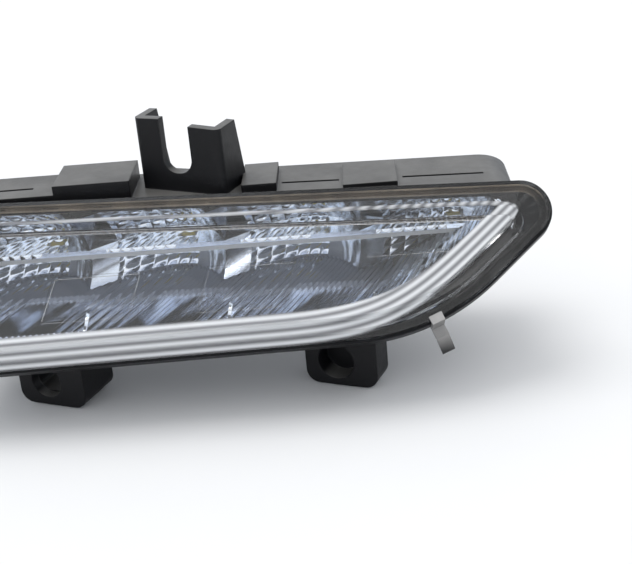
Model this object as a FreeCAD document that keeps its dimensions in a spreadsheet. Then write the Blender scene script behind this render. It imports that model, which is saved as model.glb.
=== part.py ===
import FreeCAD, Part
import math
import os
import Sketcher

# Bumper lamp, millimetres. X runs along the lens to the outer end, Y rearward, Z up.
# The lens plane leans back by tilt. The fixings and the reflector cells look along the car,
# which is turned from the lamp's own Y by sweep. Outline sizes are x along the lens and v up it.

SIZES = {
    # lens plane and the flange outline on it
    "tilt": 37, "sweep": 22,
    "left_x": -95, "low_v": -23.2, "high_v": 22.4,
    "knee_x": 38.3, "knee_v": -20.8, "tip_x": 81.3, "tip_v": 16.7,
    "end_round": 8, "knee_round": 55, "tip_round": 8, "flange_thick": 3.5,
    # housing tub behind the flange
    "tub_top": 1.5, "tub_slope": 2.5, "tub_bottom": 3, "tub_left": 5,
    "tub_end": 6, "tub_tip": 9, "housing_wall": 2.2,
    "back_y": 45, "shelf_y": 32, "shelf_crest": 18, "back_crest": 4,
    # groove, tongue and sealant between lens and flange
    "groove_edge": 1.1, "groove_wide": 1.9, "groove_deep": 2.2,
    "tongue_edge": 1.5, "tongue_wide": 1.1, "tongue_deep": 1.4,
    # lens: foot on the flange, drawn-in step, bevelled face
    "lens_edge": 0.6, "lens_foot": 2.2,
    "rim_top": 6, "rim_slope": 3.2, "rim_bottom": 1.6, "rim_left": 6,
    "rim_end": 6, "rim_tip": 5, "step_high": 4.2, "step_draw": 1, "step_ledge": 0.9,
    "face_high": 6.4, "face_draw": 2, "face_thick": 2, "lens_side": 3.5,
    "frame_wide": 22, "frame_tall": 11.5, "frame_v": -6, "frame_skew": 3.6,
    "frame_x": -47, "frame_pitch": 38.6,
    "frame_line": 0.6, "frame_proud": 0.4,
    # top bracket with its open slot
    "bracket_x": -24.4, "bracket_y": 18.3, "bracket_sink": 0.6,
    "bracket_wide": 24.3, "bracket_tall": 20, "bracket_low_deep": 13, "bracket_high_deep": 9,
    "bracket_plate": 2.6, "bracket_side": 2.2, "bracket_floor": 2.4, "bracket_round": 1.8,
    "slot_wide": 8.3, "slot_low": 5.6, "slot_round": 3.9, "slot_shift": -0.6,
    "arm_drop": 1.8, "arm_slope": 1.4,
    # bottom lugs
    "lug_y": 0, "left_lug_x": -62.7, "right_lug_x": 13.1,
    "lug_wide": 19.8, "lug_top": -14, "lug_low": -35, "lug_round": 3.5, "lug_plate": 3,
    "lug_side": 2.6, "left_lug_deep": 14, "right_lug_deep": 8,
    "bore_shift": -1.4, "bore_z": -28.3, "left_bore": 9, "right_bore": 9.9, "right_bore_deep": 6,
    # pads and grooves on the housing's top shelf
    "pad_front": 15, "pad_sink": 4,
    "end_pad_x": -87, "end_pad_wide": 30, "end_pad_rise": 1.6,
    "tall_pad_x": -57.5, "tall_pad_wide": 20, "tall_pad_rise": 4.6,
    "stop_pad_x": -9, "stop_pad_wide": 9, "stop_pad_rise": 2.2,
    "flat_pad_x": 17, "flat_pad_wide": 14, "flat_pad_rise": 1,
    "line_y": 21, "line_wide": 1.1, "line_deep": 0.8,
    "line_a_x": -88, "line_a_long": 24, "line_b_x": 1, "line_b_long": 15,
    "line_c_x": 32.5, "line_c_long": 21,
    # reflector: bowls, floor, ridge
    "cell_pitch": 36, "first_cell_x": -60.3, "vertex_y": 34, "focal": 5, "bowl_reach": 30,
    "bowl_wall": 2.4, "ridge_y": 21.5, "mid_plate": 1.2, "mid_plate_back": 36.9,
    "floor_z": -11, "floor_thick": 1.6, "floor_right": 28.6, "reflector_top": 10,
    "reflector_gap": 0.4, "reflector_front_gap": 1, "flute_pitch": 1.4, "flute_deep": 0.45,
    "post_wide": 7, "post_tall": 4.6, "post_long": 6, "boss_wide": 5,
    # board and what stands on it
    "board_low": -3.8, "board_thick": 1.6, "board_front": 22.5, "board_back": 41.5,
    "board_left": -85, "board_right": 48.6,
    "led_long": 3.5, "led_wide": 2.8, "led_tall": 0.8, "led_gap": 0.8,
    "chip_x": -20, "chip_long": 6, "chip_wide": 4, "chip_tall": 1.5,
    "can_x": 3, "can_wide": 4, "can_tall": 5,
    "diode_x": 9, "diode_long": 4, "diode_wide": 2.5, "diode_tall": 2,
    "resistor_x": 20, "resistor_step": 5, "resistor_long": 3.2, "resistor_wide": 1.6,
    "resistor_tall": 0.6, "parts_y": 39.2,
    "sink_left": -80, "sink_right": 44, "sink_front": 37.2, "sink_back": 41.2,
    "pad_thick": 0.5, "sink_thick": 1.4, "sink_top": 3.4,
    # screws
    "board_screw_y": 34.3, "board_screw": 2.5, "board_head": 5, "board_head_tall": 1.6,
    "board_screw_long": 7.5, "screw_gap": 0.1, "pass_gap": 0.4,
    "post_screw_z": -8.7, "post_screw": 3, "post_head": 5.6, "post_head_tall": 2,
    "post_screw_long": 7, "post_a_x": -70, "post_b_x": -12, "post_c_x": 14,
    # connector socket at the back
    "socket_x": -42, "socket_z": -4.2, "socket_wide": 18, "socket_tall": 15, "socket_long": 12,
    "socket_wall": 2, "pin_pitch": 3.5, "pin_thick": 0.8, "pin_front": 38, "pin_back": 54,
    "carrier_wide": 11.2, "carrier_tall": 5, "carrier_front": 41.8, "carrier_back": 46.5,
    "carrier_gap": 0.15,
    # vent on the back wall
    "vent_x": 30, "vent_z": -3, "vent_boss": 10, "vent_long": 2.5, "vent_hole": 4,
    "membrane_wide": 8.4, "membrane_thick": 0.4, "cap_gap": 0.3, "cap_wall": 1, "cap_skirt": 1.5,
    # spring clip under the outer end
    "clip_angle": -68, "clip_wide": 3.4, "clip_thick": 0.8, "clip_grip": 1.4, "clip_hold": 2,
    "claw_long": 7, "claw_curl": 2.6,
}

# A length that reaches past the whole lamp, for cutting and clipping.
REACH = "200"

# Two points nearer than this are one.
TOUCH = 1e-6

X_AXIS = FreeCAD.Vector(1, 0, 0)
Y_AXIS = FreeCAD.Vector(0, 1, 0)
Z_AXIS = FreeCAD.Vector(0, 0, 1)
CELLS = 4
BOWL_STEPS = 6

doc = FreeCAD.newDocument("bumper_light")
sheet = doc.addObject("Spreadsheet::Sheet", "dims")
for row, (alias, value) in enumerate(SIZES.items(), start=1):
    sheet.set(f"A{row}", alias)
    sheet.set(f"B{row}", str(value))
    sheet.setAlias(f"B{row}", alias)
doc.recompute()


def number(expression):
    return float(sheet.evalExpression(expression))


def bind(item, **expressions):
    for name, expression in expressions.items():
        item.setExpression(name, str(expression))
    return item


def move(item, x="0", y="0", z="0"):
    item.setExpression("Placement.Base.x", x)
    item.setExpression("Placement.Base.y", y)
    item.setExpression("Placement.Base.z", z)
    return item


def turn(item, axis, angle):
    item.Placement = FreeCAD.Placement(FreeCAD.Vector(), FreeCAD.Rotation(axis, number(angle)))
    item.setExpression("Placement.Rotation.Angle", angle)
    return item


def draw(sketch, corners, rounds=None):
    """Closed outline through corners given as expressions, each rounded if it has a radius."""
    rounds = rounds or [None] * len(corners)
    count = len(corners)
    points = [FreeCAD.Vector(number(x), number(y), 0) for x, y in corners]
    starts, ends, centres = [], [], []
    for i, corner in enumerate(points):
        back = (points[i - 1] - corner).normalize()
        ahead = (points[(i + 1) % count] - corner).normalize()
        half = back.getAngle(ahead) / 2
        radius = number(rounds[i]) if rounds[i] else 0
        starts.append(corner + back * (radius / math.tan(half)))
        ends.append(corner + ahead * (radius / math.tan(half)))
        centres.append(corner + (back + ahead).normalize() * (radius / math.sin(half)))
    for i in range(count):
        sketch.addGeometry(Part.LineSegment(ends[i], starts[(i + 1) % count]), False)

    def fix(kind, geometry, point, expression):
        index = sketch.addConstraint(
            Sketcher.Constraint(kind, -1, 1, geometry, point, number(expression)))
        sketch.setExpression(f"Constraints[{index}]", expression)

    for i, (x, y) in enumerate(corners):
        before = (i - 1) % count
        if not rounds[i]:
            sketch.addConstraint(Sketcher.Constraint("Coincident", before, 2, i, 1))
            fix("DistanceX", i, 1, x)
            fix("DistanceY", i, 1, y)
            continue
        radius = number(rounds[i])
        first = starts[i] - centres[i]
        last = ends[i] - centres[i]
        turn_left = first.cross(last).z > 0
        if not turn_left:
            first, last = last, first
        circle = Part.Circle(centres[i], Z_AXIS, radius)
        arc = sketch.addGeometry(
            Part.ArcOfCircle(circle, math.atan2(first.y, first.x), math.atan2(last.y, last.x)), False)
        arc_in, arc_out = (1, 2) if turn_left else (2, 1)
        sketch.addConstraint(Sketcher.Constraint("Tangent", before, 2, arc, arc_in))
        sketch.addConstraint(Sketcher.Constraint("Tangent", arc, arc_out, i, 1))
        index = sketch.addConstraint(Sketcher.Constraint("Radius", arc, radius))
        sketch.setExpression(f"Constraints[{index}]", rounds[i])
        mark = sketch.addGeometry(Part.Point(points[i]), True)
        sketch.addConstraint(Sketcher.Constraint("PointOnObject", mark, 1, before))
        sketch.addConstraint(Sketcher.Constraint("PointOnObject", mark, 1, i))
        fix("DistanceX", mark, 1, x)
        fix("DistanceY", mark, 1, y)
    return sketch


def new_sketch(label):
    return doc.addObject("Sketcher::SketchObject", label)


# The outer end's slanted edge: run across for each step up, and the same along the slant.
RUN = "(dims.tip_x - dims.knee_x)/(dims.tip_v - dims.knee_v)"
SLANT = f"sqrt(1 + ({RUN})^2)"


def outline(label, height, top, slope, bottom, left, end_round, knee_round, tip_round):
    """Lamp outline, brought in from the flange edge by four borders, height above the lens plane."""
    sketch = new_sketch(label)
    turn(sketch, X_AXIS, "90 - dims.tilt")
    move(sketch, "0", f"-cos(dims.tilt)*({height})", f"sin(dims.tilt)*({height})")
    corners = [
        (f"dims.left_x + {left}", f"dims.low_v + {bottom}"),
        (f"dims.knee_x + ({bottom})*{RUN} - ({slope})*{SLANT}", f"dims.knee_v + {bottom}"),
        (f"dims.tip_x - ({top})*{RUN} - ({slope})*{SLANT}", f"dims.tip_v - ({top})"),
        (f"dims.left_x + {left}", f"dims.high_v - ({top})"),
    ]
    return draw(sketch, corners, [end_round, knee_round, tip_round, end_round])


def edge_outline(label, height, inset):
    """Outline at one even distance inside the flange edge."""
    return outline(label, height, inset, inset, inset, inset, f"dims.end_round - ({inset})",
                   f"dims.knee_round - ({inset})", f"dims.tip_round - ({inset})")


def rim_outline(label, height, inset):
    """Outline of the lens's raised face, drawn in by inset."""
    return outline(label, height, f"dims.rim_top + {inset}", f"dims.rim_slope + {inset}",
                   f"dims.rim_bottom + {inset}", f"dims.rim_left + {inset}",
                   f"dims.rim_end - ({inset})", f"dims.knee_round - dims.rim_slope - ({inset})",
                   f"dims.rim_tip - ({inset})")


def tub_outline(label, height, inset):
    """Outline of the tub, or of what lies inside it."""
    return outline(label, height, f"dims.tub_top + {inset}", f"dims.tub_slope + {inset}",
                   f"dims.tub_bottom + {inset}", f"dims.tub_left + {inset}",
                   f"dims.tub_end - ({inset})", f"dims.knee_round - dims.tub_slope - ({inset})",
                   f"dims.tub_tip - ({inset})")


def raise_up(label, sketch, length, down="0"):
    """Extrusion along the sketch's own normal."""
    item = doc.addObject("Part::Extrusion", label)
    item.Base = sketch
    item.DirMode = "Normal"
    item.Solid = True
    return bind(item, LengthFwd=length, LengthRev=down)


def draw_back(label, sketch, length, forward="0"):
    """Extrusion rearward along Y."""
    item = doc.addObject("Part::Extrusion", label)
    item.Base = sketch
    item.DirMode = "Custom"
    item.Dir = Y_AXIS
    item.Solid = True
    return bind(item, LengthFwd=length, LengthRev=forward)


def loft(label, low, high):
    item = doc.addObject("Part::Loft", label)
    item.Sections = [low, high]
    item.Solid = True
    item.Ruled = True
    return item


def box(label, x, y, z, long, deep, tall):
    item = doc.addObject("Part::Box", label)
    bind(item, Length=long, Width=deep, Height=tall)
    return move(item, x, y, z)


def rod(label, x, y, z, width, length, axis=Z_AXIS):
    """Cylinder of a given diameter along Z, or rearward along Y."""
    item = doc.addObject("Part::Cylinder", label)
    bind(item, Radius=f"({width})/2", Height=length)
    if axis == Y_AXIS:
        item.Placement = FreeCAD.Placement(FreeCAD.Vector(), FreeCAD.Rotation(X_AXIS, -90))
    return move(item, x, y, z)


def fuse(label, parts):
    item = doc.addObject("Part::MultiFuse", label)
    item.Shapes = parts
    item.Refine = True
    return item


def common(label, parts):
    item = doc.addObject("Part::MultiCommon", label)
    item.Shapes = parts
    return item


def cut(label, base, tool):
    item = doc.addObject("Part::Cut", label)
    item.Base = base
    item.Tool = tool
    return item


def group(label, parts):
    item = doc.addObject("Part::Compound", label)
    item.Links = parts
    return item


def plane(body, role):
    return [feature for feature in body.Origin.OriginFeatures if feature.Role == role][0]


def body_sketch(body, label, role):
    sketch = body.newObject("Sketcher::SketchObject", label)
    sketch.AttachmentSupport = [(plane(body, role), "")]
    sketch.MapMode = "FlatFace"
    return sketch


def feature(body, kind, label, sketch, **settings):
    item = body.newObject(f"PartDesign::{kind}", label)
    item.Profile = sketch
    for name, value in settings.items():
        setattr(item, name, value)
    return item


def add_circle(sketch, x, y, radius):
    circle = Part.Circle(FreeCAD.Vector(number(x), number(y), 0), Z_AXIS, number(radius))
    index = sketch.addGeometry(circle, False)
    for kind, value in (("DistanceX", x), ("DistanceY", y)):
        rule = sketch.addConstraint(Sketcher.Constraint(kind, -1, 1, index, 3, number(value)))
        sketch.setExpression(f"Constraints[{rule}]", value)
    rule = sketch.addConstraint(Sketcher.Constraint("Radius", index, number(radius)))
    sketch.setExpression(f"Constraints[{rule}]", radius)


def shelf(x):
    """Height of the housing's top shelf at x: the tub's top edge falls toward the outer end."""
    fall = f"(dims.tip_v - dims.high_v)*(({x}) - dims.left_x)/(dims.tip_x - dims.left_x)"
    return f"(dims.high_v - dims.tub_top + {fall})*cos(dims.tilt)"


# Tub: the outline drawn rearward, under a side profile with a sloped back.
def side_profile(label, inset):
    sketch = new_sketch(label)
    sketch.Placement = FreeCAD.Placement(
        FreeCAD.Vector(), FreeCAD.Rotation(Y_AXIS, Z_AXIS, X_AXIS, "ZXY"))
    draw(sketch, [
        (f"-{REACH}", f"-{REACH}"), (f"dims.back_y - {inset}", f"-{REACH}"),
        (f"dims.back_y - {inset}", "dims.back_crest"),
        (f"dims.shelf_y - {inset}", "dims.shelf_crest"),
        (f"dims.shelf_y - {inset}", REACH), (f"-{REACH}", REACH)])
    return raise_up(f"{label}_block", sketch, REACH, REACH)


tub = common("tub", [
    draw_back("tub_prism", tub_outline("tub_edge", "0", "0"), REACH),
    side_profile("tub_side", "0")])
cavity = common("cavity", [
    draw_back("cavity_prism", tub_outline("cavity_edge", "0", "dims.housing_wall"), REACH, REACH),
    side_profile("cavity_side", "dims.housing_wall")])
flange_edge = edge_outline("flange_edge", "0", "0")
flange = raise_up("flange", flange_edge, "0", "dims.flange_thick")

# Groove round the flange, and the lens tongue that sits in it.
GROOVE_IN = "(dims.groove_edge + dims.groove_wide)"
TONGUE_IN = "(dims.tongue_edge + dims.tongue_wide)"
groove = cut("groove",
             raise_up("groove_outer", edge_outline("groove_edge_out", "0", "dims.groove_edge"),
                      "0", "dims.groove_deep"),
             raise_up("groove_inner", edge_outline("groove_edge_in", "0", GROOVE_IN),
                      "0", "dims.groove_deep"))
tongue = cut("tongue",
             raise_up("tongue_outer", edge_outline("tongue_edge_out", "0", "dims.tongue_edge"),
                      "0", "dims.tongue_deep"),
             raise_up("tongue_inner", edge_outline("tongue_edge_in", "0", TONGUE_IN),
                      "0", "dims.tongue_deep"))
sealant_bead = cut("sealant_bead", groove, tongue)

# Pads and shallow grooves on the top shelf.
pads = []
for name in ("end_pad", "tall_pad", "stop_pad", "flat_pad"):
    middle = f"dims.{name}_x + dims.{name}_wide/2"
    pads.append(box(f"housing_{name}", f"dims.{name}_x", "dims.pad_front",
                    f"{shelf(middle)} - dims.pad_sink", f"dims.{name}_wide",
                    "dims.shelf_y - dims.pad_front", f"dims.pad_sink + dims.{name}_rise"))
lines = []
for name in ("line_a", "line_b", "line_c"):
    middle = f"dims.{name}_x + dims.{name}_long/2"
    rise = "dims.end_pad_rise" if name == "line_a" else "0"
    lines.append(box(f"shelf_{name}", f"dims.{name}_x", "dims.line_y",
                     f"{shelf(middle)} + {rise} - dims.line_deep", f"dims.{name}_long",
                     "dims.line_wide", "dims.line_deep*2"))

# Top bracket: a channel with an open U slot in its front plate.
bracket = doc.addObject("PartDesign::Body", "bracket")
turn(bracket, Z_AXIS, "-dims.sweep")
move(bracket, "dims.bracket_x", "dims.bracket_y", f"{shelf('dims.bracket_x')} - dims.bracket_sink")
bracket_side = body_sketch(bracket, "bracket_side", "YZ_Plane")
draw(bracket_side, [("0", "0"), ("dims.bracket_low_deep", "0"),
                    ("dims.bracket_high_deep", "dims.bracket_tall"), ("0", "dims.bracket_tall")])
bind(feature(bracket, "Pad", "bracket_block", bracket_side, SideType="Symmetric"),
     Length="dims.bracket_wide")
bracket_plan = body_sketch(bracket, "bracket_plan", "XY_Plane")
bracket_plan.setExpression("AttachmentOffset.Base.z", "dims.bracket_floor")
INNER_HALF = "(dims.bracket_wide/2 - dims.bracket_side)"
draw(bracket_plan, [
    (f"-{INNER_HALF}", "dims.bracket_plate"), (INNER_HALF, "dims.bracket_plate"),
    (INNER_HALF, "dims.bracket_low_deep*2"), (f"-{INNER_HALF}", "dims.bracket_low_deep*2")])
feature(bracket, "Pocket", "bracket_channel", bracket_plan, Type="ThroughAll", Reversed=True)
bracket_slot = body_sketch(bracket, "bracket_slot", "XZ_Plane")
SLOT_LEFT = "(dims.slot_shift - dims.slot_wide/2)"
SLOT_RIGHT = "(dims.slot_shift + dims.slot_wide/2)"
draw(bracket_slot, [
    (SLOT_LEFT, "dims.slot_low"), (SLOT_RIGHT, "dims.slot_low"),
    (SLOT_RIGHT, "dims.bracket_tall*2"), (SLOT_LEFT, "dims.bracket_tall*2")],
    ["dims.slot_round", "dims.slot_round", None, None])
feature(bracket, "Pocket", "bracket_slot_cut", bracket_slot, Type="ThroughAll")
bracket_arm = body_sketch(bracket, "bracket_arm", "XZ_Plane")
ARM_TOP = "dims.bracket_tall - dims.arm_drop"
draw(bracket_arm, [
    (SLOT_RIGHT, ARM_TOP), ("dims.bracket_wide", f"{ARM_TOP} - dims.arm_slope"),
    ("dims.bracket_wide", "dims.bracket_tall*2"), (SLOT_RIGHT, "dims.bracket_tall*2")])
arm_cut = feature(bracket, "Pocket", "bracket_arm_cut", bracket_arm, Type="ThroughAll")
doc.recompute()


def upright_edges(item, half_wide):
    """Names of the upright edges at the front corners of a block half_wide to each side."""
    names = []
    for index, edge in enumerate(item.Shape.Edges, start=1):
        ends = [vertex.Point for vertex in edge.Vertexes]
        upright = len(ends) == 2 and abs(abs(ends[0].z - ends[1].z) - edge.Length) < TOUCH
        at_corner = all(abs(abs(p.x) - half_wide) + abs(p.y) < TOUCH for p in ends)
        if upright and at_corner:
            names.append(f"Edge{index}")
    return names


bracket_rounding = bracket.newObject("PartDesign::Fillet", "bracket_rounding")
bracket_rounding.Base = (arm_cut, upright_edges(arm_cut, number("dims.bracket_wide/2")))
bind(bracket_rounding, Radius="dims.bracket_round")


# Bottom lugs: rounded blocks in the fixing plane, bored along the car.
def lug(side, bore_deep, hollow):
    body = doc.addObject("PartDesign::Body", f"{side}_lug")
    turn(body, Z_AXIS, "-dims.sweep")
    move(body, f"dims.{side}_lug_x", "dims.lug_y", "0")
    front = body_sketch(body, f"{side}_lug_front", "XZ_Plane")
    half = "dims.lug_wide/2"
    draw(front, [(f"-{half}", "dims.lug_low"), (half, "dims.lug_low"),
                 (half, "dims.lug_top"), (f"-{half}", "dims.lug_top")],
         ["dims.lug_round", "dims.lug_round", None, None])
    bind(feature(body, "Pad", f"{side}_lug_block", front, Reversed=True),
         Length=f"dims.{side}_lug_deep")
    if hollow:
        inner = body_sketch(body, f"{side}_lug_inside", "XZ_Plane")
        inner.setExpression("AttachmentOffset.Base.z", "-dims.lug_plate")
        inner_half = "(dims.lug_wide/2 - dims.lug_side)"
        draw(inner, [(f"-{inner_half}", "dims.lug_low + dims.lug_side"),
                     (inner_half, "dims.lug_low + dims.lug_side"),
                     (inner_half, "dims.lug_top - dims.lug_side"),
                     (f"-{inner_half}", "dims.lug_top - dims.lug_side")],
             ["dims.lug_round - dims.lug_side", "dims.lug_round - dims.lug_side", None, None])
        feature(body, "Pocket", f"{side}_lug_hollow", inner, Type="ThroughAll")
    bore = body_sketch(body, f"{side}_lug_bore", "XZ_Plane")
    add_circle(bore, "dims.bore_shift", "dims.bore_z", f"dims.{side}_bore/2")
    bind(feature(body, "Pocket", f"{side}_lug_bored", bore), Length=bore_deep)
    return body


left_lug = lug("left", "dims.lug_plate", True)
right_lug = lug("right", "dims.right_bore_deep", False)

# Connector socket and vent boss on the back wall.
socket = box("socket", "dims.socket_x - dims.socket_wide/2", "dims.back_y - dims.housing_wall/2",
             "dims.socket_z - dims.socket_tall/2", "dims.socket_wide",
             "dims.socket_long + dims.housing_wall/2", "dims.socket_tall")
socket_mouth = box("socket_mouth", "dims.socket_x - dims.socket_wide/2 + dims.socket_wall",
                   "dims.back_y", "dims.socket_z - dims.socket_tall/2 + dims.socket_wall",
                   "dims.socket_wide - 2*dims.socket_wall", "dims.socket_long*2",
                   "dims.socket_tall - 2*dims.socket_wall")


def carrier_block(label, gap):
    return box(label, f"dims.socket_x - dims.carrier_wide/2 - {gap}", "dims.carrier_front",
               f"dims.socket_z - dims.carrier_tall/2 - {gap}", f"dims.carrier_wide + 2*{gap}",
               "dims.carrier_back - dims.carrier_front", f"dims.carrier_tall + 2*{gap}")


WALL_IN = "(dims.back_y - dims.housing_wall)"
VENT_END = "(dims.back_y + dims.vent_long)"
vent_boss = rod("vent_boss", "dims.vent_x", WALL_IN, "dims.vent_z", "dims.vent_boss",
                "dims.vent_long + dims.housing_wall", Y_AXIS)
vent_hole = rod("vent_hole", "dims.vent_x", f"{WALL_IN} - dims.housing_wall", "dims.vent_z",
                "dims.vent_hole", "dims.vent_long + 3*dims.housing_wall", Y_AXIS)
POSTS = ("dims.post_a_x", "dims.post_b_x", "dims.post_c_x")
wall_holes = [rod(f"wall_hole_{n}", x, f"{WALL_IN} - dims.housing_wall", "dims.post_screw_z",
                  "dims.post_screw + dims.pass_gap", "3*dims.housing_wall", Y_AXIS)
              for n, x in enumerate(POSTS)]
housing = cut("housing",
              fuse("housing_solid", [tub, flange, bracket, left_lug, right_lug, socket, vent_boss]
                   + pads),
              fuse("housing_hollows", [cavity, groove, socket_mouth, vent_hole,
                                       carrier_block("carrier_hole", "dims.carrier_gap")]
                   + wall_holes + lines))

# Lens: foot, drawn-in step, bevelled face, hollow behind and one thin frame line for each cell.
lens_foot = raise_up("lens_foot", edge_outline("lens_foot_edge", "0", "dims.lens_edge"),
                     "dims.lens_foot")
lens_step = loft("lens_step", rim_outline("lens_step_low", "0", "0"),
                 rim_outline("lens_step_high", "dims.step_high", "dims.step_draw"))
FACE_IN = "(dims.step_draw + dims.step_ledge)"
lens_face = loft("lens_face", rim_outline("lens_face_low", "0", FACE_IN),
                 rim_outline("lens_face_high", "dims.face_high", f"({FACE_IN} + dims.face_draw)"))
INSIDE = "(dims.face_high - dims.face_thick)"
lens_hollow = raise_up("lens_hollow", rim_outline("lens_hollow_edge", "0", "dims.lens_side"),
                       INSIDE, "dims.lens_foot")


def frame_outline(label, cell, inset):
    sketch = new_sketch(label)
    turn(sketch, X_AXIS, "90 - dims.tilt")
    move(sketch, "0", f"-cos(dims.tilt)*{INSIDE}", f"sin(dims.tilt)*{INSIDE}")
    centre = f"dims.frame_x + {cell}*dims.frame_pitch"
    corners = []
    for across, up in ((-1, -1), (1, -1), (1, 1), (-1, 1)):
        corners.append((f"{centre} + {across}*(dims.frame_wide/2 - {inset}) + {up}*dims.frame_skew/2",
                        f"dims.frame_v + {up}*(dims.frame_tall/2 - {inset})"))
    return draw(sketch, corners)


frames = []
for cell in range(CELLS - 1):
    frames.append(cut(f"lens_frame_{cell}",
                      raise_up(f"frame_out_{cell}", frame_outline(f"frame_edge_{cell}", cell, "0"),
                               "dims.face_thick/2", "dims.frame_proud"),
                      raise_up(f"frame_in_{cell}",
                               frame_outline(f"frame_inner_{cell}", cell, "dims.frame_line"),
                               "dims.face_thick/2", "dims.frame_proud*2")))
lens = fuse("lens", [cut("lens_shell", fuse("lens_solid", [lens_foot, lens_step, lens_face]),
                         lens_hollow), tongue] + frames)


# Reflector bowls: paraboloids that look along the car, one for each cell.
def bowl(label, cell, wall):
    focal = number("dims.focal")
    reach = number("dims.bowl_reach")
    depth = reach ** 2 / (4 * focal)
    radii = [reach * step / BOWL_STEPS for step in range(BOWL_STEPS + 1)]
    curve = Part.BSplineCurve()
    curve.interpolate([FreeCAD.Vector(radius ** 2 / (4 * focal), radius, 0) for radius in radii])
    rim = FreeCAD.Vector(depth, reach, 0)
    hub = FreeCAD.Vector(depth, 0, 0)
    wire = Part.Wire([curve.toShape(), Part.makeLine(rim, hub),
                      Part.makeLine(hub, FreeCAD.Vector())])
    item = doc.addObject("Part::Feature", label)
    item.Shape = Part.Face(wire).revolve(FreeCAD.Vector(), X_AXIS, 360)
    turn(item, Z_AXIS, "270 - dims.sweep")
    return move(item, f"dims.first_cell_x + {cell}*dims.cell_pitch + sin(dims.sweep)*{wall}",
                f"dims.vertex_y + cos(dims.sweep)*{wall}", "dims.board_low + dims.board_thick/2")


bowls_in = fuse("bowls_in", [bowl(f"bowl_in_{cell}", cell, "0") for cell in range(CELLS)])
bowls_out = fuse("bowls_out", [bowl(f"bowl_out_{cell}", cell, "dims.bowl_wall")
                               for cell in range(CELLS)])
CLEAR = "(dims.housing_wall + dims.reflector_gap)"
room_prism = draw_back("room_prism", tub_outline("room_edge", "0", CLEAR), REACH)
move(room_prism, "0", "dims.reflector_front_gap", "0")
room = common("reflector_room", [room_prism, side_profile("room_side", CLEAR)])


def slab(label, low, tall, front=f"-{REACH}/2", back="dims.board_back", right=f"{REACH}/2"):
    """Level layer across the lamp, from front to back and out to the right."""
    return box(label, f"-{REACH}/2", front, low, f"{right} + {REACH}/2", f"{back} - ({front})", tall)


# Fluted floor: a row of shallow V grooves that run along the car.
def fluted_floor(label):
    pitch = number("dims.flute_pitch")
    top = number("dims.floor_z")
    low = top - number("dims.floor_thick")
    count = math.ceil(number(REACH) / 2 / pitch)
    points = [FreeCAD.Vector(-count * pitch, 0, low)]
    for step in range(-count, count):
        points.append(FreeCAD.Vector(step * pitch, 0, top))
        points.append(FreeCAD.Vector((step + 0.5) * pitch, 0, top - number("dims.flute_deep")))
    points.append(FreeCAD.Vector(count * pitch, 0, top))
    points.append(FreeCAD.Vector(count * pitch, 0, low))
    face = Part.Face(Part.makePolygon(points + points[:1]))
    run = Y_AXIS * number(REACH)
    face.translate(run * -0.5)
    item = doc.addObject("Part::Feature", label)
    item.Shape = face.extrude(run)
    return turn(item, Z_AXIS, "-dims.sweep")


FLOOR_LOW = "(dims.floor_z - dims.floor_thick)"
MID_X = [f"dims.first_cell_x + ({cell} + 0.5)*dims.cell_pitch" for cell in range(CELLS - 1)]
floor = common("reflector_floor", [fluted_floor("fluted_floor"), room,
                                   slab("floor_layer", FLOOR_LOW, "dims.floor_thick*2",
                                        right="dims.floor_right")])
lower_shell = cut("lower_shell", common("lower_shell_solid", [
    bowls_out, room, slab("lower_layer", FLOOR_LOW, f"dims.board_low - {FLOOR_LOW}")]), bowls_in)
posts = [box(f"post_{n}", f"{x} - dims.post_wide/2", f"{WALL_IN} - dims.post_long",
             "dims.floor_z - dims.floor_thick/2", "dims.post_wide", "dims.post_long",
             "dims.post_tall + dims.floor_thick/2") for n, x in enumerate(POSTS)]
bosses = common("bosses", [room, fuse("boss_blanks", [
    rod(f"boss_{n}", x, "dims.board_screw_y", FLOOR_LOW, "dims.boss_wide",
        f"dims.board_low - {FLOOR_LOW}") for n, x in enumerate(MID_X)])])
PILOT_LOW = "(dims.board_low + dims.board_thick + dims.mid_plate - dims.board_screw_long)"
pilots = [rod(f"board_pilot_{n}", x, "dims.board_screw_y", PILOT_LOW,
              "dims.board_screw + dims.screw_gap", "dims.board_screw_long")
          for n, x in enumerate(MID_X)]
pilots += [rod(f"post_pilot_{n}", x, "dims.back_y - dims.post_screw_long", "dims.post_screw_z",
               "dims.post_screw + dims.screw_gap", "dims.post_screw_long", Y_AXIS)
           for n, x in enumerate(POSTS)]
bored_posts = cut("bored_posts", fuse("post_blanks", posts + [bosses]), fuse("lower_pilots", pilots))
reflector_lower = fuse("reflector_lower", [floor, lower_shell, bored_posts])

# Upper reflector: half bowls on a middle plate whose straight front edge is the ridge.
BOARD_TOP = "(dims.board_low + dims.board_thick)"
PLATE_TOP = f"({BOARD_TOP} + dims.mid_plate)"
upper_shell = cut("upper_shell", common("upper_shell_solid", [
    bowls_out, room, slab("upper_layer", BOARD_TOP, f"dims.reflector_top - {BOARD_TOP}")]), bowls_in)
mid_plate = common("middle_plate", [room, slab("plate_layer", BOARD_TOP, "dims.mid_plate",
                                               "dims.ridge_y", "dims.mid_plate_back")])
LED_X = [f"dims.first_cell_x + {cell}*dims.cell_pitch - sin(dims.sweep)*dims.focal"
         for cell in range(CELLS)]
LED_Y = "(dims.vertex_y - cos(dims.sweep)*dims.focal)"


def led_block(label, x, z, tall, gap="0"):
    return box(label, f"{x} - dims.led_long/2 - {gap}", f"{LED_Y} - dims.led_wide/2 - {gap}", z,
               f"dims.led_long + 2*{gap}", f"dims.led_wide + 2*{gap}", tall)


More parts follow.
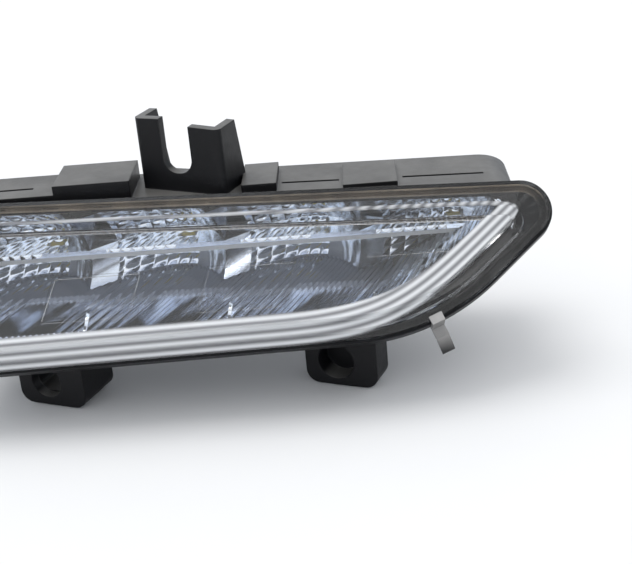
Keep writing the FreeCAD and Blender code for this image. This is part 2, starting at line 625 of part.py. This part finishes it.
windows = [led_block(f"led_window_{n}", x, BOARD_TOP, "dims.mid_plate*2", "dims.led_gap")
           for n, x in enumerate(LED_X)]
passes = [rod(f"board_pass_{n}", x, "dims.board_screw_y", "dims.board_low",
              "dims.board_screw + dims.pass_gap", "dims.board_thick + dims.mid_plate*2")
          for n, x in enumerate(MID_X)]
open_plate = cut("open_plate", mid_plate, fuse("plate_openings", windows + passes))
reflector_upper = fuse("reflector_upper", [open_plate, upper_shell])

# Board, with its parts along the back strip.
led_board = cut("led_board",
                box("board_blank", "dims.board_left", "dims.board_front", "dims.board_low",
                    "dims.board_right - dims.board_left", "dims.board_back - dims.board_front",
                    "dims.board_thick"),
                fuse("board_holes", passes))
lower_leds = group("lower_leds", [led_block(f"lower_led_{n}", x, "dims.board_low - dims.led_tall",
                                            "dims.led_tall") for n, x in enumerate(LED_X)])
upper_leds = group("upper_leds", [led_block(f"upper_led_{n}", x, BOARD_TOP, "dims.led_tall")
                                  for n, x in enumerate(LED_X)])


def under_board(label, x, kind):
    return box(label, f"{x} - dims.{kind}_long/2", f"dims.parts_y - dims.{kind}_wide/2",
               f"dims.board_low - dims.{kind}_tall", f"dims.{kind}_long", f"dims.{kind}_wide",
               f"dims.{kind}_tall")


driver_chip = under_board("driver_chip", "dims.chip_x", "chip")
protection_diode = under_board("protection_diode", "dims.diode_x", "diode")
ballast_resistors = group("ballast_resistors", [
    under_board(f"resistor_{n}", f"dims.resistor_x + {n}*dims.resistor_step", "resistor")
    for n in range(3)])
filter_capacitor = rod("filter_capacitor", "dims.can_x", "dims.parts_y",
                       "dims.board_low - dims.can_tall", "dims.can_wide", "dims.can_tall")

# Heat spreader: an aluminium angle on a thermal pad along the board's back edge.
SINK_LONG = "dims.sink_right - dims.sink_left"
SINK_LOW = f"({BOARD_TOP} + dims.pad_thick)"
thermal_pad = box("thermal_pad", "dims.sink_left", "dims.sink_front", BOARD_TOP, SINK_LONG,
                  "dims.sink_back - dims.sink_front", "dims.pad_thick")
heat_spreader = fuse("heat_spreader", [
    box("spreader_base", "dims.sink_left", "dims.sink_front", SINK_LOW, SINK_LONG,
        "dims.sink_back - dims.sink_front", "dims.sink_thick"),
    box("spreader_fin", "dims.sink_left", "dims.sink_back - dims.sink_thick", SINK_LOW, SINK_LONG,
        "dims.sink_thick", f"dims.sink_top - {SINK_LOW}")])

# Screws: a shank and a round head, downward into the bosses and forward into the posts.
board_screws = group("board_screws", [
    fuse(f"board_screw_{n}", [
        rod(f"board_shank_{n}", x, "dims.board_screw_y", PILOT_LOW, "dims.board_screw",
            "dims.board_screw_long"),
        rod(f"board_head_{n}", x, "dims.board_screw_y", PLATE_TOP, "dims.board_head",
            "dims.board_head_tall")])
    for n, x in enumerate(MID_X)])
reflector_screws = group("reflector_screws", [
    fuse(f"post_screw_{n}", [
        rod(f"post_shank_{n}", x, "dims.back_y - dims.post_screw_long", "dims.post_screw_z",
            "dims.post_screw", "dims.post_screw_long", Y_AXIS),
        rod(f"post_head_{n}", x, "dims.back_y", "dims.post_screw_z", "dims.post_head",
            "dims.post_head_tall", Y_AXIS)])
    for n, x in enumerate(POSTS)])

# Connector pins through their carrier, soldered under the board's back edge.
pins = [box(f"pin_{n}", f"dims.socket_x + ({n} - 1)*dims.pin_pitch - dims.pin_thick/2",
            "dims.pin_front", "dims.board_low - dims.pin_thick", "dims.pin_thick",
            "dims.pin_back - dims.pin_front", "dims.pin_thick") for n in range(3)]
connector_pins = group("connector_pins", pins)
pin_carrier = cut("pin_carrier", carrier_block("carrier_blank", "0"), fuse("carrier_slots", pins))

# Vent: a membrane on the boss under a plain cap.
vent_membrane = rod("vent_membrane", "dims.vent_x", VENT_END, "dims.vent_z", "dims.membrane_wide",
                    "dims.membrane_thick", Y_AXIS)
CAP_OUT = "(dims.vent_boss + 2*dims.cap_wall + 2*dims.cap_gap)"
CAP_ROOM = "(dims.cap_skirt + dims.membrane_thick + dims.cap_gap)"
CAP_FRONT = f"({VENT_END} - dims.cap_skirt)"
vent_cap = cut("vent_cap",
               rod("cap_blank", "dims.vent_x", CAP_FRONT, "dims.vent_z", CAP_OUT,
                   f"{CAP_ROOM} + dims.cap_wall", Y_AXIS),
               rod("cap_room", "dims.vent_x", CAP_FRONT, "dims.vent_z",
                   "dims.vent_boss + 2*dims.cap_gap", CAP_ROOM, Y_AXIS))

# Spring clip: a strip folded round lens foot and flange, with a curled claw.
doc.recompute()
knee_arc = [g for g in flange_edge.Geometry if getattr(g, "Radius", 0) == number("dims.knee_round")][0]
clip_turn = FreeCAD.Rotation(Z_AXIS, number("dims.clip_angle"))
on_edge = knee_arc.Center + clip_turn.multVec(X_AXIS * knee_arc.Radius)
clip_section = new_sketch("clip_section")
CLIP_TOP = "dims.lens_foot + dims.clip_thick"
CLIP_LOW = "-dims.flange_thick - dims.clip_thick"
draw(clip_section, [
    ("-dims.clip_grip", "dims.lens_foot"), ("0", "dims.lens_foot"), ("0", "-dims.flange_thick"),
    ("-dims.clip_hold", "-dims.flange_thick"), ("-dims.clip_hold", CLIP_LOW),
    ("dims.claw_long/2", CLIP_LOW), ("dims.claw_long", f"{CLIP_LOW} - dims.claw_curl"),
    ("dims.claw_long", f"{CLIP_LOW} - dims.claw_curl + dims.clip_thick"),
    ("dims.claw_long/2", "-dims.flange_thick"), ("dims.clip_thick", "-dims.flange_thick"),
    ("dims.clip_thick", CLIP_TOP), ("-dims.clip_grip", CLIP_TOP)])
lens_plane = FreeCAD.Placement(FreeCAD.Vector(), FreeCAD.Rotation(X_AXIS, 90 - number("dims.tilt")))
clip_section.Placement = (lens_plane * FreeCAD.Placement(on_edge, clip_turn)
                          * FreeCAD.Placement(FreeCAD.Vector(), FreeCAD.Rotation(X_AXIS, 90)))
retaining_clip = raise_up("retaining_clip", clip_section, "dims.clip_wide/2", "dims.clip_wide/2")

NODES = [housing, lens, sealant_bead, reflector_lower, reflector_upper, led_board, lower_leds,
         upper_leds, driver_chip, filter_capacitor, protection_diode, ballast_resistors,
         thermal_pad, heat_spreader, board_screws, reflector_screws, connector_pins, pin_carrier,
         vent_membrane, vent_cap, retaining_clip]
doc.recompute()

# The files are written about the centre of the left lug's bore, halfway through its plate.
bore = FreeCAD.Vector(
    number("dims.left_lug_x + dims.bore_shift*cos(dims.sweep) + dims.lug_plate/2*sin(dims.sweep)"),
    number("dims.lug_y - dims.bore_shift*sin(dims.sweep) + dims.lug_plate/2*cos(dims.sweep)"),
    number("dims.bore_z"))
for item in doc.Objects:
    if "Invalid" in item.State or "Error" in item.State:
        raise RuntimeError(f"{item.Label} did not compute: {item.State}")
os.makedirs("parts", exist_ok=True)
for node in NODES:
    shape = node.Shape.copy()
    if shape.isNull() or not shape.isValid():
        raise RuntimeError(f"{node.Label} has no valid shape")
    shape.translate(-bore)
    shape.exportStep(f"parts/{node.Label}.step")
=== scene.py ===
import math

import bpy
from mathutils import Matrix, Vector


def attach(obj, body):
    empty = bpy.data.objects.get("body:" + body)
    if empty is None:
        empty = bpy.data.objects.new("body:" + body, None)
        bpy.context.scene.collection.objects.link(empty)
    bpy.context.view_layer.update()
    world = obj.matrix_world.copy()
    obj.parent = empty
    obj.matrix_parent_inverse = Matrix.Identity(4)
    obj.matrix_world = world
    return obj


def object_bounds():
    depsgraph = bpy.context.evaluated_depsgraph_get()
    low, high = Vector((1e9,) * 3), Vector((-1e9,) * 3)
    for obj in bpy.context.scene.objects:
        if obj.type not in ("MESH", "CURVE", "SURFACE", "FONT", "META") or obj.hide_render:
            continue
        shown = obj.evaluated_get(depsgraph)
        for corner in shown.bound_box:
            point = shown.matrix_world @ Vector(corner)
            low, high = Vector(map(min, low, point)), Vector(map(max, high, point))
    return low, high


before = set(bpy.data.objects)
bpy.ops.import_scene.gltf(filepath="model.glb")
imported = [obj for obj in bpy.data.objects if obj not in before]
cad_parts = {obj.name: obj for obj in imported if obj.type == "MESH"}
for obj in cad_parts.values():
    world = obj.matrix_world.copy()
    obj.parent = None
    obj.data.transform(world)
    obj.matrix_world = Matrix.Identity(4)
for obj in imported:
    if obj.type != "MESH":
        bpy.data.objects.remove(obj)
cad_low, cad_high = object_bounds()


# Housing: one black glass-filled moulding with a satin spark-eroded grain.
# The faces that look up are painted pale, a painted highlight for the overhead light that falls on them.
# Its edges are softened in the shading by a bevel node.
BLACK = (0.006, 0.006, 0.007)
BLACK_ROUGH = 0.42
BLACK_SATIN = (0.33, 0.51)
BLACK_SPECULAR = 0.22
SATIN_SCALE = 400
# Painted highlight on the faces that look up: its colour, tilt range, cover and scale.
PAINTED_TOP_LIGHT = (0.18, 0.175, 0.165)
PAINTED_TOP_LIGHT_TILT = (0.65, 0.95)
PAINTED_TOP_LIGHT_COVER = (0.3, 1.0)
PAINTED_TOP_LIGHT_SCALE = 90
GRAIN_SCALE = 2600
GRAIN_DEEP = 0.00006
EDGE_RADIUS = 0.0007
EDGE_SAMPLES = 4


class Wire:
    """A shader socket that adds a maths node for each operator put on it."""

    def __init__(self, tree, socket):
        self.tree = tree
        self.socket = socket

    def put(self, target):
        self.tree.links.new(self.socket, target)

    def math(self, operation, other=None):
        node = self.tree.nodes.new("ShaderNodeMath")
        node.operation = operation
        self.put(node.inputs[0])
        if isinstance(other, Wire):
            other.put(node.inputs[1])
        elif other is not None:
            node.inputs[1].default_value = other
        return Wire(self.tree, node.outputs[0])

    def through(self, kind, into, out, values=(), **settings):
        node = self.tree.nodes.new(kind)
        for key, value in settings.items():
            setattr(node, key, value)
        for key, value in dict(values).items():
            if isinstance(value, Wire):
                value.put(node.inputs[key])
            else:
                node.inputs[key].default_value = value
        if into is not None:
            self.put(node.inputs[into])
        return Wire(self.tree, node.outputs[out])

    def __add__(self, other):
        return self.math("ADD", other)

    def __sub__(self, other):
        return self.math("SUBTRACT", other)

    def __mul__(self, other):
        return self.math("MULTIPLY", other)

    def __truediv__(self, other):
        return self.math("DIVIDE", other)


def new_material(name, rough, metal=0.0):
    material = bpy.data.materials.new(name)
    material.use_nodes = True
    shader = material.node_tree.nodes["Principled BSDF"]
    shader.inputs["Roughness"].default_value = rough
    shader.inputs["Metallic"].default_value = metal
    place = material.node_tree.nodes.new("ShaderNodeTexCoord")
    return material, shader, Wire(material.node_tree, place.outputs["Object"])


def noise(place, scale, detail=3.0):
    return place.through("ShaderNodeTexNoise", "Vector", "Fac", {"Scale": scale, "Detail": detail})


def blend(factor, low, high):
    return factor.through("ShaderNodeMix", 0, 2, {6: (*low, 1), 7: (*high, 1)}, data_type="RGBA")


def varied(cloud, low, high):
    return cloud * (high - low) + low


def mapped(value, low, high):
    return value.through("ShaderNodeMapRange", "Value", 0, {"From Min": low, "From Max": high})


def axis(place, letter):
    return place.through("ShaderNodeSeparateXYZ", 0, letter)


def dress(material, *nodes):
    for name in nodes:
        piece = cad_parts[name]
        if not piece.material_slots:
            piece.data.materials.append(material)
        for place in piece.material_slots:
            place.material = material


black, black_shader, black_place = new_material("housing_black", BLACK_ROUGH)
facing = black_place.through("ShaderNodeNewGeometry", None, "Normal")
# Faces that look up are painted paler: a painted highlight for the overhead light.
upward = mapped(axis(facing, "Z"), *PAINTED_TOP_LIGHT_TILT)
painted_top_light = upward * varied(noise(black_place, PAINTED_TOP_LIGHT_SCALE, 6.0), *PAINTED_TOP_LIGHT_COVER)
blend(painted_top_light, BLACK, PAINTED_TOP_LIGHT).put(black_shader.inputs["Base Color"])
black_shader.inputs["Specular IOR Level"].default_value = BLACK_SPECULAR
varied(noise(black_place, SATIN_SCALE), *BLACK_SATIN).put(black_shader.inputs["Roughness"])
soft_edge = black_place.through(
    "ShaderNodeBevel", None, "Normal", {"Radius": EDGE_RADIUS}, samples=EDGE_SAMPLES)
grain = noise(black_place, GRAIN_SCALE, 2.0).through(
    "ShaderNodeBump", "Height", "Normal", {"Distance": GRAIN_DEEP, "Normal": soft_edge})
grain.put(black_shader.inputs["Normal"])
dress(black, "housing")


# Reflector: two vacuum-metallised mouldings, bluish silver, screwed together over the board.
# The outer half of each bowl is smooth, and the inner half carries pillow optics. The floor's colour is
# painted darker, a painted shade.
# Sizes are in mm.
MM = 1000.0
SILVER_LOW = (0.87, 0.92, 0.99)
SILVER_HIGH = (0.94, 0.965, 1.0)
# Darker silver for the floor: painted shade.
SILVER_FLOOR_SHADE = (0.60, 0.65, 0.76, 1)
SILVER_ROUGH = 0.09
SILVER_GLOSS = (0.08, 0.16)
SILVER_SCALE = 60
GLOSS_SCALE = 220
SWEEP = math.radians(22)
CELL_PITCH = 36 * math.cos(SWEEP)
VERTEX = (3.136, 32.085)
FIRST_VERTEX = VERTEX[0] * math.cos(SWEEP) - VERTEX[1] * math.sin(SWEEP)
PILLOW_WIDE = 2.8
PILLOW_TALL = 2.5
PILLOW_DEEP = 0.0006
PILLOW_END = 0.02
UPPER_PILLOW = 0.75
UPPER_FLUTE = 0.05
RIDGE_Z = 26.7
FLOOR_Z = (19.0, 17.2)


def bump(height, shader, deep):
    height.through("ShaderNodeBump", "Height", "Normal", {"Distance": deep}).put(shader.inputs["Normal"])


silver, silver_shader, silver_place = new_material("metallised", SILVER_ROUGH, 1.0)
side = axis(silver_place, "X") * (MM * math.cos(SWEEP))
back = axis(silver_place, "Y") * (MM * math.sin(SWEEP))
high = axis(silver_place, "Z") * MM
across = side - back
cell = (across - FIRST_VERTEX) / CELL_PITCH
part = cell - cell.math("ROUND")
columns = (across * (math.pi / PILLOW_WIDE)).math("SINE").math("ABSOLUTE")
rows = (high * (math.pi / PILLOW_TALL)).math("SINE").math("ABSOLUTE")
above = high.math("GREATER_THAN", RIDGE_Z)
inboard = part.math("LESS_THAN", PILLOW_END)
pillows = columns * rows * inboard * varied(above, 1.0, UPPER_PILLOW)
flutes = columns * above * UPPER_FLUTE
bump(pillows.math("MAXIMUM", flutes), silver_shader, PILLOW_DEEP)
bright = blend(noise(silver_place, SILVER_SCALE), SILVER_LOW, SILVER_HIGH)
# Below FLOOR_Z the colour fades to a darker silver: painted shade on the floor.
floor_shaded_silver = mapped(high, *FLOOR_Z).through(
    "ShaderNodeMix", 0, 2, {6: bright, 7: SILVER_FLOOR_SHADE}, data_type="RGBA")
floor_shaded_silver.put(silver_shader.inputs["Base Color"])
varied(noise(silver_place, GLOSS_SCALE), *SILVER_GLOSS).put(silver_shader.inputs["Roughness"])
dress(silver, "reflector_lower", "reflector_upper")


# Reflector apron: the fluted floor carried on to the outer end, metallised with the bowls.
# It starts in the lower moulding's floor and climbs along the slanted lens edge.
# A block is bent to the place of each flute by Geometry Nodes. Sizes are in mm before the frame shift.
SHIFT = Vector((63.436, -1.915, 28.3))
FLUTE_HALF = 0.7
FLUTE_DEEP = 0.45
APRON_FIRST = 20.0
APRON_LINES = 43
APRON_STEPS = 14
FRONT_ROUNDS = 4
APRON_BACK = 26.0
APRON_OUTER = 57.0
APRON_LEVEL = -12.4
APRON_THICK = 0.8
APRON_TOP = 8.0
APRON_BEND = 6.0
APRON_GAP = 1.2
LENS_LEAN = math.radians(37)
EDGE_TURN = (38.3, -20.8)
EDGE_RUN = (0.7537, 0.6573)
APRON_INSET = 7.5


def apron_height(x):
    climb = (x - EDGE_TURN[0]) * (EDGE_RUN[1] / EDGE_RUN[0])
    climb = climb + (EDGE_TURN[1] + APRON_INSET / EDGE_RUN[0])
    rise = climb * math.cos(LENS_LEAN) - APRON_LEVEL
    root = (rise * rise + APRON_BEND * APRON_BEND).math("SQRT")
    return ((rise + root) * 0.5 + APRON_LEVEL).math("MINIMUM", APRON_TOP)


def apron_x(along, y):
    return (along + y * math.sin(SWEEP)) / math.cos(SWEEP)


apron_tree = bpy.data.node_groups.new("fluted_apron", "GeometryNodeTree")
apron_sizes = {"Flute Half": FLUTE_HALF, "Flute Deep": FLUTE_DEEP, "Thickness": APRON_THICK}
apron_ports = {}
for name in apron_sizes:
    apron_ports[name] = apron_tree.interface.new_socket(
        name, in_out="INPUT", socket_type="NodeSocketFloat")
apron_tree.interface.new_socket("Geometry", in_out="OUTPUT", socket_type="NodeSocketGeometry")
entry = apron_tree.nodes.new("NodeGroupInput")
given = {name: Wire(apron_tree, entry.outputs[name]) for name in apron_sizes}
block = apron_tree.nodes.new("GeometryNodeMeshCube")
block.inputs["Vertices X"].default_value = APRON_LINES + 1
block.inputs["Vertices Y"].default_value = APRON_STEPS + 1
block.inputs["Vertices Z"].default_value = 2
spot = Wire(apron_tree, apron_tree.nodes.new("GeometryNodeInputPosition").outputs[0])
line = ((axis(spot, "X") + 0.5) * APRON_LINES).math("ROUND")
depth = axis(spot, "Y") + 0.5
on_top = axis(spot, "Z").math("GREATER_THAN", 0.0)
along = line * given["Flute Half"] + APRON_FIRST
front = along * 0.0
for _ in range(FRONT_ROUNDS):
    front = apron_height(apron_x(along, front)) * math.tan(LENS_LEAN) + APRON_GAP
wall = (along * -1.0 + APRON_OUTER * math.cos(SWEEP)) / math.sin(SWEEP)
apron_y = front + (wall.math("MINIMUM", APRON_BACK) - front) * depth
out_x = apron_x(along, apron_y)
groove = line.math("MODULO", 2.0) * given["Flute Deep"] * on_top
skin = varied(on_top, 1.0, 0.0) * given["Thickness"]
out_z = apron_height(out_x) - groove - skin
placed = ((out_x + SHIFT.x) / MM).through(
    "ShaderNodeCombineXYZ", "X", 0, {"Y": (apron_y + SHIFT.y) / MM, "Z": (out_z + SHIFT.z) / MM})
formed = Wire(apron_tree, block.outputs["Mesh"]).through(
    "GeometryNodeSetPosition", "Geometry", 0, {"Position": placed})
formed = formed.through("GeometryNodeRealizeInstances", "Geometry", 0)
formed = formed.through("GeometryNodeSetMaterial", "Geometry", 0, {"Material": silver})
formed.put(apron_tree.nodes.new("NodeGroupOutput").inputs["Geometry"])
apron = bpy.data.objects.new("reflector_apron", bpy.data.meshes.new("apron_start"))
bpy.context.collection.objects.link(apron)
maker = apron.modifiers.new("fluted_apron", "NODES")
maker.node_group = apron_tree
for name, size in apron_sizes.items():
    maker[apron_ports[name].identifier] = size
made = apron.evaluated_get(bpy.context.evaluated_depsgraph_get())
apron_mesh = bpy.data.meshes.new_from_object(made)
apron_mesh.name = "reflector_apron"
apron_mesh.materials.clear()
apron_mesh.materials.append(silver)
for face in apron_mesh.polygons:
    face.material_index = 0
apron.modifiers.remove(maker)
apron.data = apron_mesh
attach(apron, "root")


# Board with its parts: white solder mask, yellow phosphor, black chips, tinned can.
# It lies between the two reflectors and shows only through the bowl windows.
ROUGH_SPREAD = 0.06


def speckled(name, low, high, rough, grain, metal=0.0):
    material, shader, place = new_material(name, rough, metal)
    cloud = noise(place, grain)
    blend(cloud, low, high).put(shader.inputs["Base Color"])
    varied(cloud, rough - ROUGH_SPREAD, rough + ROUGH_SPREAD).put(shader.inputs["Roughness"])
    return material


dress(speckled("solder_mask", (0.78, 0.79, 0.80), (0.86, 0.87, 0.88), 0.35, 300), "led_board")
phosphor = speckled("phosphor", (0.80, 0.62, 0.12), (0.90, 0.76, 0.25), 0.4, 900)
dress(phosphor, "lower_leds", "upper_leds")
chip_black = speckled("chip_black", (0.012, 0.012, 0.012), (0.03, 0.03, 0.03), 0.5, 700)
dress(chip_black, "driver_chip", "protection_diode")
dress(speckled("resistor_body", (0.02, 0.02, 0.025), (0.06, 0.06, 0.07), 0.35, 900), "ballast_resistors")
dress(speckled("can_skin", (0.62, 0.62, 0.63), (0.75, 0.75, 0.76), 0.3, 260, 1.0), "filter_capacitor")
dress(speckled("gap_pad", (0.36, 0.38, 0.42), (0.48, 0.50, 0.54), 0.8, 500), "thermal_pad")
rolled = speckled("rolled_aluminium", (0.60, 0.61, 0.62), (0.74, 0.75, 0.76), 0.38, 180, 1.0)
dress(rolled, "heat_spreader")


# Sealant: a bead of butyl laid in the flange groove.
# It shows through the clear foot of the lens, weathered pale along the top and black elsewhere.
BUTYL = (0.018, 0.017, 0.016)
BUTYL_AGED = (0.66, 0.53, 0.39)
BUTYL_ROUGH = 0.6
AGED_COVER = (0.2, 1.0)
AGED_SCALE = 160
TOP_RUN = (0.037, 0.042)
BEAD_SCALE = 1900
BEAD_DEEP = 0.0003
butyl, butyl_shader, butyl_place = new_material("butyl", BUTYL_ROUGH)
aged = mapped(axis(butyl_place, "Z"), *TOP_RUN) * varied(noise(butyl_place, AGED_SCALE), *AGED_COVER)
blend(aged, BUTYL, BUTYL_AGED).put(butyl_shader.inputs["Base Color"])
bump(noise(butyl_place, BEAD_SCALE), butyl_shader, BEAD_DEEP)
dress(butyl, "sealant_bead")


# Lens: one clear polycarbonate moulding with a raised, stepped face, its foot set on the housing's flange.
# The solid refracts. Along the bottom and outer end its rim carries a painted highlight in light and dark
# bands, for light carried in the thick rim, with a thin painted highlight line on top.
# Sizes are in mm on the leaning face, before the frame shift.
CLEAR_LOW = (0.985, 0.99, 0.995)
CLEAR_HIGH = (1.0, 1.0, 1.0)
CLEAR_ROUGH = 0.02
CLEAR_SCALE = 40
CLEAR_IOR = 1.5
HAZE = 0.06
HAZE_SCALE = 700
# Painted highlight on the rim: its dark and light band colours, roughness and share.
RIM_HIGHLIGHT_LOW = (0.26, 0.26, 0.27)
RIM_HIGHLIGHT_HIGH = (0.86, 0.87, 0.88)
RIM_HIGHLIGHT_ROUGH = 0.12
RIM_HIGHLIGHT_SHARE = 0.8
TOP_SHARE = 0.8
HIGHLIGHT_BAND_PITCH = 1.9
RIM_BOTTOM = 0.7
BOTTOM_RISE = 0.018
RIM_SLOPE = 7.3
RIM_ROUND = 20.0
BAND_BOTTOM = 6.8
BAND_SLOPE = 4.6
TOP_HIGH = 38.9
TOP_FALL = 0.0323
RIM_TOP = 6.0
TOP_LINE = 0.55
CORNER_ROUND = 12.0
OUTER_FADE = (-0.6, 0.2)
INNER_FADE = (0.6, 0.0)
TOP_FADE = (-0.4, 0.2)


def smooth_least(one, other, rounding):
    return one.through("ShaderNodeMath", 0, 0, {1: other, 2: rounding}, operation="SMOOTH_MIN")


clear, clear_shader, clear_place = new_material("clear_lens", CLEAR_ROUGH)
blend(noise(clear_place, CLEAR_SCALE), CLEAR_LOW, CLEAR_HIGH).put(clear_shader.inputs["Base Color"])
(noise(clear_place, HAZE_SCALE, 5.0).math("POWER", 3.0) * HAZE).put(clear_shader.inputs["Roughness"])
clear_shader.inputs["Transmission Weight"].default_value = 1.0
clear_shader.inputs["IOR"].default_value = CLEAR_IOR
lens_x = axis(clear_place, "X") * MM - SHIFT.x
lens_y = axis(clear_place, "Y") * MM - SHIFT.y
lens_z = axis(clear_place, "Z") * MM - SHIFT.z
up_lens = lens_y * math.sin(LENS_LEAN) + lens_z * math.cos(LENS_LEAN) - EDGE_TURN[1]
from_turn = lens_x - EDGE_TURN[0]
from_bottom = up_lens - from_turn * BOTTOM_RISE - RIM_BOTTOM
from_slope = up_lens * EDGE_RUN[0] - from_turn * EDGE_RUN[1] - RIM_SLOPE
from_top = from_turn * -TOP_FALL + TOP_HIGH - up_lens - RIM_TOP
inset = smooth_least(from_bottom, from_slope, RIM_ROUND)
within = smooth_least(from_bottom - BAND_BOTTOM, from_slope - BAND_SLOPE, RIM_ROUND)
from_corner = smooth_least(from_top, from_slope, CORNER_ROUND)
start = mapped(inset, *OUTER_FADE)
stop = mapped(within, *INNER_FADE)
below_top = mapped(from_corner, *TOP_FADE)
top_highlight_line = mapped(from_corner.math("ABSOLUTE"), TOP_LINE, TOP_LINE / 2)
# The rim band and the top line are a whitish painted highlight mixed over the glass, for light carried in
# the thick rim.
band = start * stop * below_top
painted_rim_highlight = band.math("MAXIMUM", top_highlight_line * start * TOP_SHARE) * RIM_HIGHLIGHT_SHARE
rim_highlight_bsdf = clear.node_tree.nodes.new("ShaderNodeBsdfPrincipled")
highlight_bands = (inset * (2 * math.pi / HIGHLIGHT_BAND_PITCH)).math("SINE") * 0.5 + 0.5
blend(highlight_bands, RIM_HIGHLIGHT_LOW, RIM_HIGHLIGHT_HIGH).put(rim_highlight_bsdf.inputs["Base Color"])
rim_highlight_bsdf.inputs["Roughness"].default_value = RIM_HIGHLIGHT_ROUGH
join = clear.node_tree.nodes.new("ShaderNodeMixShader")
painted_rim_highlight.put(join.inputs[0])
clear.node_tree.links.new(clear_shader.outputs[0], join.inputs[1])
clear.node_tree.links.new(rim_highlight_bsdf.outputs[0], join.inputs[2])
surface = clear.node_tree.nodes["Material Output"].inputs["Surface"]
clear.node_tree.links.new(join.outputs[0], surface)
dress(clear, "lens")


# Fixings: zinc-plated screws, a spring steel claw and tinned pins.
# The claw's colour is darker towards the bottom, darkest at its tip.
STEEL_DARK = (0.05, 0.05, 0.05)
STEEL_UPPER = (0.46, 0.45, 0.44)
STEEL_ROUGH = 0.42
STEEL_SCALE = 240
CLAW = (0.006, 0.0125)
CLAW_COVER = (0.7, 1.1)
zinc = speckled("zinc_plate", (0.36, 0.36, 0.35), (0.50, 0.50, 0.48), 0.4, 500, 1.0)
dress(zinc, "board_screws", "reflector_screws")
steel, steel_shader, steel_place = new_material("spring_steel", STEEL_ROUGH, 1.0)
# The claw's colour runs from dark at the bottom to lighter steel higher up.
claw_lighter_up = mapped(axis(steel_place, "Z"), *CLAW) * varied(noise(steel_place, STEEL_SCALE), *CLAW_COVER)
blend(claw_lighter_up, STEEL_DARK, STEEL_UPPER).put(steel_shader.inputs["Base Color"])
dress(steel, "retaining_clip")
dress(speckled("tinned_brass", (0.66, 0.60, 0.44), (0.78, 0.72, 0.56), 0.28, 500, 1.0), "connector_pins")


# Rear plastics: pin carrier, vent membrane and its cap.
# The carrier is pressed into the socket, and the cap clips over the membrane's seat.
dress(speckled("carrier_grey", (0.035, 0.035, 0.037), (0.06, 0.06, 0.062), 0.5, 400), "pin_carrier")
dress(speckled("membrane_white", (0.70, 0.70, 0.68), (0.82, 0.82, 0.80), 0.9, 900), "vent_membrane")
dress(speckled("cap_black", (0.012, 0.012, 0.012), (0.028, 0.028, 0.028), 0.5, 400), "vent_cap")


# Studio: a pale floor under the lugs, a soft sky and one wide lamp overhead.
# None of it belongs to the part.
FLOOR_HALF = 8.0
FLOOR_GAP = 0.0005
FLOOR_TURN = ((-1, -1), (1, -1), (1, 1), (-1, 1))
PAPER_LOW = (0.83, 0.83, 0.83)
PAPER_HIGH = (0.85, 0.85, 0.85)
PAPER_ROUGH = 0.9
PAPER_SCALE = 30
SKY_LOW = (0.80, 0.88, 1.0)
SKY_HIGH = (1.0, 1.0, 1.0)
SKY_BEND = 0.7
SKY_POWER = 1.05
SUN_POWER = 0.8
SUN_WIDE = math.radians(35)
SUN_AIM = Vector((0.3, -0.1, -1.0))
floor_z = cad_low[2] - FLOOR_GAP
floor_mesh = bpy.data.meshes.new("floor")
floor_corners = [(x * FLOOR_HALF, y * FLOOR_HALF, floor_z) for x, y in FLOOR_TURN]
floor_mesh.from_pydata(floor_corners, [], [(0, 1, 2, 3)])
floor = bpy.data.objects.new("floor", floor_mesh)
bpy.context.collection.objects.link(floor)
paper, paper_shader, paper_place = new_material("paper_white", PAPER_ROUGH)
blend(noise(paper_place, PAPER_SCALE), PAPER_LOW, PAPER_HIGH).put(paper_shader.inputs["Base Color"])
paper_shader.inputs["Specular IOR Level"].default_value = 0.0
floor_mesh.materials.append(paper)

world = bpy.data.worlds.new("sky")
bpy.context.scene.world = world
world.use_nodes = True
sky = world.node_tree.nodes["Background"]
sky_place = world.node_tree.nodes.new("ShaderNodeTexCoord")
rise = axis(Wire(world.node_tree, sky_place.outputs["Generated"]), "Z").math("MAXIMUM", 0.0)
blend(rise.math("POWER", SKY_BEND), SKY_LOW, SKY_HIGH).put(sky.inputs["Color"])
sky.inputs["Strength"].default_value = SKY_POWER

sun = bpy.data.lights.new("overhead", "SUN")
sun.energy = SUN_POWER
sun.angle = SUN_WIDE
lamp = bpy.data.objects.new("overhead", sun)
lamp.rotation_euler = SUN_AIM.to_track_quat("-Z", "Y").to_euler()
bpy.context.collection.objects.link(lamp)


# Camera: above and in front of the lens, rolled as the photograph was held.
# Its focal length is in pixels of the photograph's width.
FOCAL_PIXELS = 1290
IMAGE_WIDE = 632
SENSOR_WIDE = 36
NEAREST = 0.01
CAMERA_AT = (0.0855, -0.2990, 0.1523)
CAMERA_RIGHT = Vector((0.99649, 0.00907, -0.08311))
CAMERA_UP = Vector((0.07252, 0.40081, 0.91329))
camera_data = bpy.data.cameras.new("camera")
camera_data.sensor_width = SENSOR_WIDE
camera_data.lens = FOCAL_PIXELS / IMAGE_WIDE * SENSOR_WIDE
camera_data.clip_start = NEAREST
camera = bpy.data.objects.new("camera", camera_data)
turned = Matrix((CAMERA_RIGHT, CAMERA_UP, CAMERA_RIGHT.cross(CAMERA_UP))).transposed()
camera.matrix_world = Matrix.Translation(CAMERA_AT) @ turned.to_4x4()
bpy.context.collection.objects.link(camera)
bpy.context.scene.camera = camera

bpy.context.scene.view_settings.view_transform = "Standard"
